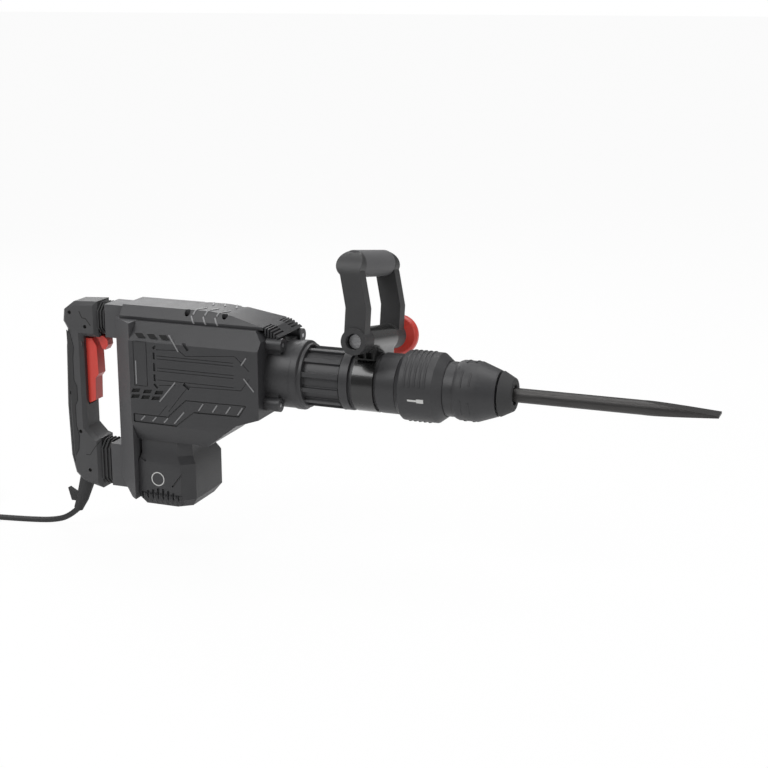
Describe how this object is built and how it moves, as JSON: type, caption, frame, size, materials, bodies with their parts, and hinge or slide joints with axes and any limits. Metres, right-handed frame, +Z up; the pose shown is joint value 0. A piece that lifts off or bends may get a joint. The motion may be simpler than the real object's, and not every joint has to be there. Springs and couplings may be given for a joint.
{
  "type": "electric demolition hammer",
  "caption": "Corded electric jackhammer with a sprung D handle, a swinging side handle, a twist mode ring, an SDS-max chuck and a flat chisel.",
  "frame": {"origin": "on the tool axis, at the front face of the dust cap", "axes": "+X along the tool axis towards the chisel, +Y to the left of someone holding the tool, +Z up"},
  "size_m": [1.212, 0.1793, 0.425],
  "materials": {
    "shell": "satin",
    "handle": "matte",
    "rubber": "matte",
    "band": "gloss",
    "casting": "satin",
    "chuck": "matte",
    "dark_steel": "satin",
    "steel": "satin",
    "copper": "satin",
    "carbon": "matte",
    "red": "satin",
    "cord": "matte",
    "fan": "satin"
  },
  "bodies": {
    "body": {"barrel": "casting", "nose_housing": "casting", "hammer_cylinder": "steel", "gear_housing": "casting", "housing_screws": "steel", "right_side_shell": "shell", "left_side_shell": "shell", "top_cover": "shell", "cover_screws": "steel", "rear_cover": "handle", "guide_rods": "steel", "motor_pot": "shell", "bearing_bridge": "casting", "crank_carrier": "casting", "crank_bearing": "steel", "lower_bearing": "steel", "upper_bearing": "steel", "stator": "dark_steel", "carbon_brushes": "carbon", "brush_holders": "copper"},
    "rear_handle": {"handle_right_shell": "handle", "handle_left_shell": "handle", "handle_screws": "dark_steel", "grip_pad": "rubber", "trigger_pin": "steel", "lock_pin": "steel", "switch": "carbon", "upper_bellows": "rubber", "lower_bellows": "rubber", "handle_buffers": "rubber", "strain_relief": "rubber", "power_cord": "cord", "cord_coil": "cord", "plug_body": "cord", "plug_pins": "steel"},
    "trigger": {"trigger": "red"},
    "trigger_lock": {"trigger_lock": "red"},
    "rotor": {"rotor_core": "dark_steel", "rotor_shaft": "steel", "commutator": "copper", "cooling_fan": "fan"},
    "crank": {"crank_gear": "steel"},
    "rod": {"connecting_rod": "steel", "wrist_pin": "steel"},
    "piston": {"piston": "steel"},
    "striker": {"striker": "steel"},
    "impact_bolt": {"impact_bolt": "steel"},
    "mode_ring": {"mode_ring": "chuck"},
    "chuck": {"tool_holder": "steel", "lock_rollers": "steel", "lock_ring": "steel", "dust_cap": "rubber"},
    "locking_sleeve": {"locking_sleeve": "chuck"},
    "chisel": {"flat_chisel": "dark_steel"},
    "side_clamp": {"clamp_band": "band"},
    "side_handle": {"side_handle_loop": "handle", "side_grip_sleeve": "rubber", "through_bolt": "steel"},
    "clamp_knob": {"clamp_knob": "red"}
  },
  "joints": [
    {"name": "handle_slide", "type": "slide", "parent": "body", "child": "rear_handle", "axis": [1, 0, 0], "range_m": [0, 0.006], "stiffness_N_per_m": 9000, "deforming": ["upper_bellows", "lower_bellows", "handle_buffers"]},
    {"name": "trigger_pull", "type": "hinge", "parent": "rear_handle", "child": "trigger", "pos_m": [-0.605, 0, 0.018], "axis": [0, 1, 0], "range_deg": [0, 8], "stiffness_Nm_per_rad": 0.6},
    {"name": "trigger_lock_lift", "type": "hinge", "parent": "rear_handle", "child": "trigger_lock", "pos_m": [-0.588, 0, 0.035], "axis": [0, -1, 0], "range_deg": [0, 8], "stiffness_Nm_per_rad": 0.05},
    {"name": "rotor_spin", "type": "hinge", "parent": "body", "child": "rotor", "pos_m": [-0.466, 0, -0.14], "axis": [0, 0, 1], "continuous": true},
    {"name": "crank_spin", "type": "hinge", "parent": "body", "child": "crank", "pos_m": [-0.43425, 0, -0.05], "axis": [0, 0, 1], "continuous": true},
    {"name": "rod_swing", "type": "hinge", "parent": "crank", "child": "rod", "pos_m": [-0.42125, 0, 0], "axis": [0, 0, 1], "continuous": true},
    {"name": "piston_stroke", "type": "slide", "parent": "body", "child": "piston", "axis": [1, 0, 0], "range_m": [-0.022, 0]},
    {"name": "striker_flight", "type": "slide", "parent": "body", "child": "striker", "axis": [1, 0, 0], "range_m": [0, 0.02]},
    {"name": "impact_bolt_slide", "type": "slide", "parent": "body", "child": "impact_bolt", "axis": [1, 0, 0], "range_m": [-0.006, 0]},
    {"name": "mode_ring_turn", "type": "hinge", "parent": "body", "child": "mode_ring", "pos_m": [-0.114, 0, 0], "axis": [1, 0, 0], "range_deg": [0, 30]},
    {"name": "chuck_turn", "type": "hinge", "parent": "body", "child": "chuck", "pos_m": [-0.1, 0, 0], "axis": [1, 0, 0], "continuous": true},
    {"name": "sleeve_pull", "type": "slide", "parent": "chuck", "child": "locking_sleeve", "axis": [-1, 0, 0], "range_m": [0, 0.01], "stiffness_N_per_m": 1500},
    {"name": "chisel_play", "type": "slide", "parent": "chuck", "child": "chisel", "axis": [1, 0, 0], "range_m": [0, 0.018]},
    {"name": "side_clamp_turn", "type": "hinge", "parent": "body", "child": "side_clamp", "pos_m": [-0.1875, 0, 0], "axis": [1, 0, 0], "continuous": true},
    {"name": "side_handle_swing", "type": "hinge", "parent": "side_clamp", "child": "side_handle", "pos_m": [-0.188, 0.00845, 0.05334], "axis": [0, 0.9877, -0.1564], "range_deg": [-45, 60]},
    {"name": "knob_turn", "type": "hinge", "parent": "side_handle", "child": "clamp_knob", "pos_m": [-0.188, 0.09536, 0.03957], "axis": [0, 0.9877, -0.1564], "continuous": true}
  ],
  "couplings": [
    {"joint": "rotor_spin", "follows": "crank_spin", "ratio": -4.25},
    {"joint": "rod_swing", "follows": "crank_spin", "ratio": -1}
  ]
}
